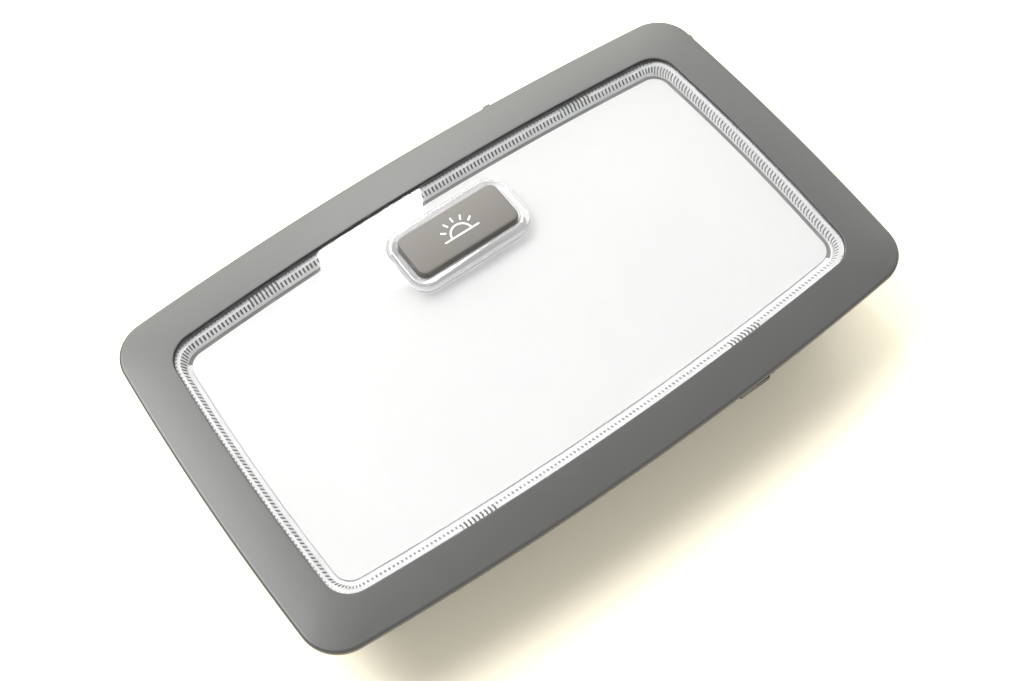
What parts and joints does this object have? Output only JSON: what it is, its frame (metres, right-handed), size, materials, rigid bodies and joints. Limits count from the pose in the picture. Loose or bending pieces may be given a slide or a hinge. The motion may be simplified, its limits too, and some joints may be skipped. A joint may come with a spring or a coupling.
{
  "type": "car interior light",
  "caption": "Car roof lamp with an arched grey frame, a clear lens with a ribbed border over an opal diffuser, and a sprung push button in a raised clear collar.",
  "frame": {"origin": "middle of the bounding box's lower face, in the plane of the housing's back", "axes": "+X along the long side, +Y towards the button side, +Z out of the lens"},
  "size_m": [0.16, 0.0955, 0.0264],
  "materials": {
    "frame_plastic": "satin, finely grained grey plastic",
    "button_plastic": "satin grey plastic",
    "clear_plastic": "clear, polished",
    "opal_plastic": "opal, smooth",
    "housing_plastic": "white, fine-grained",
    "reflector_sheet": "bright rolled sheet",
    "zinc_steel": "zinc-plated",
    "symbol_print": "white inlay",
    "natural_plastic": "natural, unpigmented",
    "black_plastic": "black, fine-grained",
    "spring_steel": "drawn wire",
    "brass_strip": "stamped, bright",
    "bulb_glass": "clear",
    "cap_metal": "nickel-plated",
    "filament_wire": "dull wire",
    "socket_plastic": "natural nylon",
    "pin_metal": "tin-plated"
  },
  "bodies": {
    "lamp": {"bezel": "frame_plastic", "lens": "clear_plastic", "diffuser": "opal_plastic", "housing": "housing_plastic", "reflector": "reflector_sheet", "bezel_screws": "zinc_steel", "switch_case": "black_plastic", "switch_cover": "black_plastic", "switch_spring": "spring_steel", "signal_terminal": "brass_strip", "ground_terminal": "brass_strip", "left_bulb_glass": "bulb_glass", "left_bulb_caps": "cap_metal", "left_bulb_filament": "filament_wire", "right_bulb_glass": "bulb_glass", "right_bulb_caps": "cap_metal", "right_bulb_filament": "filament_wire", "left_outer_contact": "brass_strip", "left_inner_contact": "brass_strip", "right_inner_contact": "brass_strip", "right_outer_contact": "brass_strip", "feed_strip": "brass_strip", "return_strip": "brass_strip", "signal_strip": "brass_strip", "ground_strip": "brass_strip", "connector_shell": "socket_plastic", "connector_pins": "pin_metal"},
    "button": {"button_cap": "button_plastic", "button_symbol": "symbol_print", "button_plunger": "natural_plastic", "contact_bridge": "brass_strip"}
  },
  "joints": [
    {"name": "button_press", "type": "slide", "parent": "lamp", "child": "button", "axis": [0, 0, -1], "range_m": [0, 0.0015], "stiffness_N_per_m": 600, "springref_m": -0.002, "deforming": ["switch_spring"]}
  ]
}
